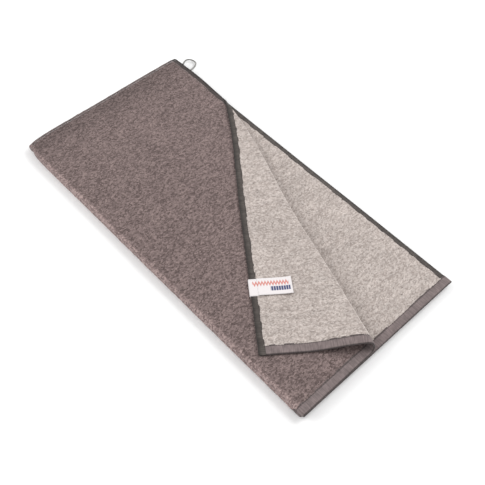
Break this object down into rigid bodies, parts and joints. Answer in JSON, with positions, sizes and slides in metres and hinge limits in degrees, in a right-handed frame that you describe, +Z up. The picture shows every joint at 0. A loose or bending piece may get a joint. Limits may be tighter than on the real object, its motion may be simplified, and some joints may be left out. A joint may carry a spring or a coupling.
{
  "type": "golf towel",
  "caption": "Two-tone terry towel, folded lengthwise and crosswise, with a hemmed corner turned back, a side label tab and a hanging loop.",
  "frame": {"origin": "centre of the folded rectangle, on the underside that the towel lies on", "axes": "+X along the folded length towards the hemmed ends, with the crosswise fold at -X; +Y across the width towards the open side hems, with the lengthwise fold at -Y; +Z up"},
  "size_m": [0.5, 0.2751, 0.0259],
  "materials": {
    "dark_terry": "terry loops, mauve taupe",
    "light_terry": "terry loops, light beige",
    "ground_weave": "plain weave between the piles",
    "side_hem": "folded flat weave, charcoal",
    "end_hem": "flat ribbed weave, mauve grey",
    "seam_thread": "lockstitch thread",
    "loop_cord": "thin twisted cord, grey",
    "label": "satin woven ribbon, white"
  },
  "bodies": {
    "lower_half": {"cross_fold_inner_hem": "side_hem", "cross_fold_inner_roll": "light_terry", "cross_fold_outer_hem": "side_hem", "cross_fold_outer_roll": "dark_terry", "lower_dark_pile": "dark_terry", "lower_end_hem": "end_hem", "lower_end_hem_seam": "seam_thread", "lower_ground_weave": "ground_weave", "lower_light_pile": "light_terry", "lower_side_hem_ply_3": "side_hem", "lower_side_hem_ply_4": "side_hem", "lower_side_hem_seam": "seam_thread"},
    "upper_half": {"corner_fold_end_hem": "end_hem", "corner_fold_roll": "light_terry", "corner_fold_side_hem": "side_hem", "hanging_loop_bartacks": "seam_thread", "hanging_loop_roots": "loop_cord", "upper_dark_pile": "dark_terry", "upper_end_hem": "end_hem", "upper_end_hem_seam": "seam_thread", "upper_ground_weave": "ground_weave", "upper_light_pile": "light_terry", "upper_side_hem_ply_1": "side_hem", "upper_side_hem_ply_2": "side_hem", "upper_side_hem_seam": "seam_thread"},
    "turned_corner": {"corner_dark_pile": "dark_terry", "corner_end_hem": "end_hem", "corner_end_hem_seam": "seam_thread", "corner_ground_weave": "ground_weave", "corner_light_pile": "light_terry", "corner_side_hem": "side_hem", "corner_side_hem_seam": "seam_thread", "label_stitches": "seam_thread", "label_wrap": "label"},
    "label": {"label_tab": "label"},
    "hanging_loop": {"hanging_loop": "loop_cord"}
  },
  "joints": [
    {"name": "cross_fold", "type": "hinge", "parent": "lower_half", "child": "upper_half", "pos_m": [-0.24405, 0, 0.00595], "axis": [0, -1, 0], "range_deg": [0, 180], "deforming": ["cross_fold_inner_hem", "cross_fold_inner_roll", "cross_fold_outer_hem", "cross_fold_outer_roll"]},
    {"name": "corner_fold", "type": "hinge", "parent": "upper_half", "child": "turned_corner", "pos_m": [0.05415, 0.05796, 0.0123], "axis": [-0.9449, 0.3273, 0], "range_deg": [0, 180], "deforming": ["corner_fold_end_hem", "corner_fold_roll", "corner_fold_side_hem"]},
    {"name": "label_lift", "type": "hinge", "parent": "turned_corner", "child": "label", "pos_m": [0.10684, -0.0538, 0.01535], "axis": [0.7954, -0.6061, 0], "range_deg": [0, 140], "deforming": ["label_tab"]},
    {"name": "loop_swing", "type": "hinge", "parent": "upper_half", "child": "hanging_loop", "pos_m": [-0.225, 0.1264, 0.0075], "axis": [1, 0, 0], "range_deg": [0, 100]}
  ]
}
